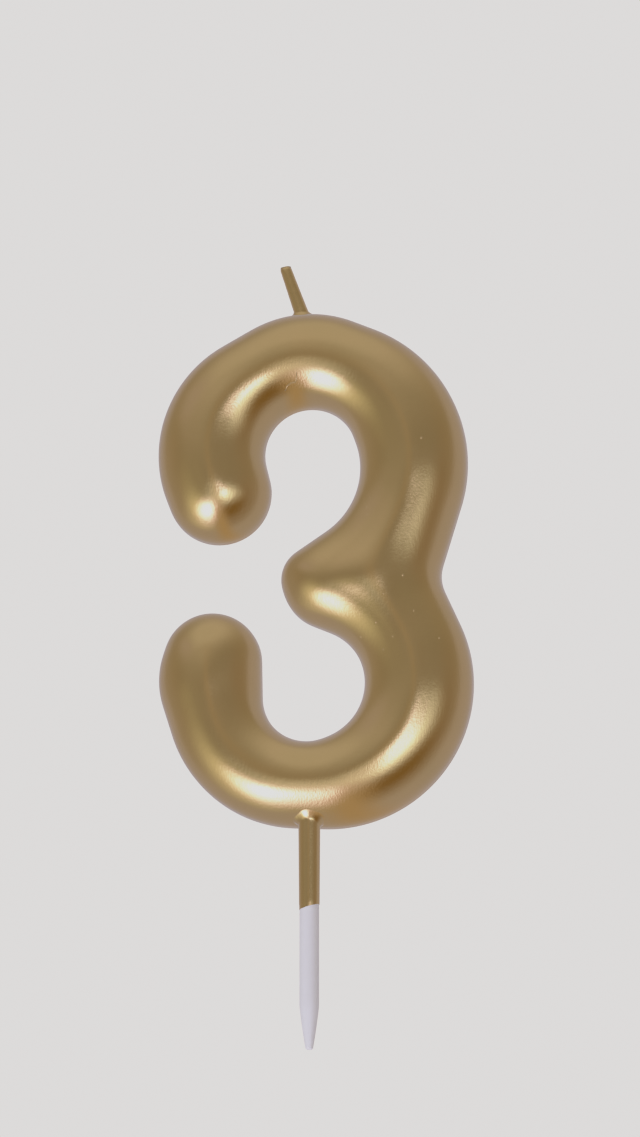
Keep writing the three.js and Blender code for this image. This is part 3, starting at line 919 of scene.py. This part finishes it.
def floor_paint():
    """Matt and pale, clear towards the floor's edge."""
    material = bpy.data.materials.new("floor")
    material.use_nodes = True
    tree = material.node_tree
    tree.nodes.clear()
    scale = {0: object_place(tree), 1: (1 / FLOOR_RADIUS, 1 / FLOOR_RADIUS, 0)}
    flat = add_node(tree, "ShaderNodeVectorMath", scale, operation="MULTIPLY").outputs[0]
    ball = add_node(tree, "ShaderNodeTexGradient", {"Vector": flat}, gradient_type="SPHERICAL")
    fade = {"Value": ball.outputs["Fac"], "From Max": FLOOR_FADE}
    mask = add_node(tree, "ShaderNodeMapRange", fade, interpolation_type="SMOOTHSTEP").outputs["Result"]
    matt = add_node(tree, "ShaderNodeBsdfDiffuse", {"Color": (*FLOOR_COLOR, 1)}).outputs[0]
    glow = add_node(tree, "ShaderNodeEmission", {"Color": (*PALE, 1), "Strength": FLOOR_GLOW}).outputs[0]
    lit = add_node(tree, "ShaderNodeAddShader", {0: matt, 1: glow}).outputs[0]
    clear = add_node(tree, "ShaderNodeBsdfTransparent").outputs[0]
    both = add_node(tree, "ShaderNodeMixShader", {0: mask, 1: clear, 2: lit})
    out = add_node(tree, "ShaderNodeOutputMaterial")
    tree.links.new(both.outputs[0], out.inputs["Surface"])
    return material


def floor():
    """A round pale floor, below the camera's line of sight, that fades into the ground colour."""
    angles = circle(FLOOR_SIDES)
    level = np.full(FLOOR_SIDES, FLOOR_LEVEL * MM)
    ring = np.stack([FLOOR_RADIUS * np.cos(angles), FLOOR_RADIUS * np.sin(angles), level], -1)
    mesh = bpy.data.meshes.new("floor")
    mesh.from_pydata(ring.tolist(), [], [list(range(FLOOR_SIDES))])
    made = bpy.data.objects.new("floor", mesh)
    bpy.context.scene.collection.objects.link(made)
    mesh.materials.append(floor_paint())
    made.visible_glossy = False
    made.visible_diffuse = False
    made.visible_shadow = False


def photo_camera():
    """The camera to the lower right of the front, with the middle of the picture on its line."""
    camera = bpy.data.cameras.new("photo_camera")
    camera.sensor_width = SENSOR_WIDTH
    camera.lens = SENSOR_WIDTH * VIEW_DISTANCE / (MM_PER_PIXEL * PICTURE_HEIGHT * VIEW_SHORTENING)
    camera.clip_end = CLIP_END
    made = bpy.data.objects.new("photo_camera", camera)
    bpy.context.scene.collection.objects.link(made)
    forward = Vector((-VIEW_RIGHT, 1, VIEW_DOWN)).normalized()
    right = forward.cross(Vector((0, 0, 1))).normalized()
    up = right.cross(forward)
    target = Vector((VIEW_MIDDLE[0], WIDEST_PLANE_Y, VIEW_MIDDLE[1]))
    made.location = (target - forward * VIEW_DISTANCE) * MM
    made.rotation_euler = Matrix((right, up, -forward)).transposed().to_euler()
    bpy.context.scene.camera = made


def picture_tone():
    """Whites that end at pale grey, as the picture's do."""
    view = bpy.context.scene.view_settings
    view.view_transform = "Standard"
    view.look = "None"
    view.use_curve_mapping = True
    mapping = view.curve_mapping
    mapping.extend = "HORIZONTAL"
    curve = mapping.curves[3]
    curve.points[0].location = TONE_CURVE[0]
    curve.points[1].location = TONE_CURVE[-1]
    for place in TONE_CURVE[1:-1]:
        curve.points.new(*place)
    for point in curve.points:
        point.handle_type = "AUTO_CLAMPED"
    mapping.update()


def dress_wick():
    """The wick keeps its mesh and gets the cotton."""
    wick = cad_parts["wick"]
    wick.data.materials.clear()
    wick.data.materials.append(cotton())
    wick.visible_glossy = False


photo_camera()
picture_tone()
studio_world()
floor()
front_form = Front()
lacquer_skin(front_form, gold_lacquer())
wax_core(front_form, cast_wax())
bare_pick(pick_plastic())
dress_wick()
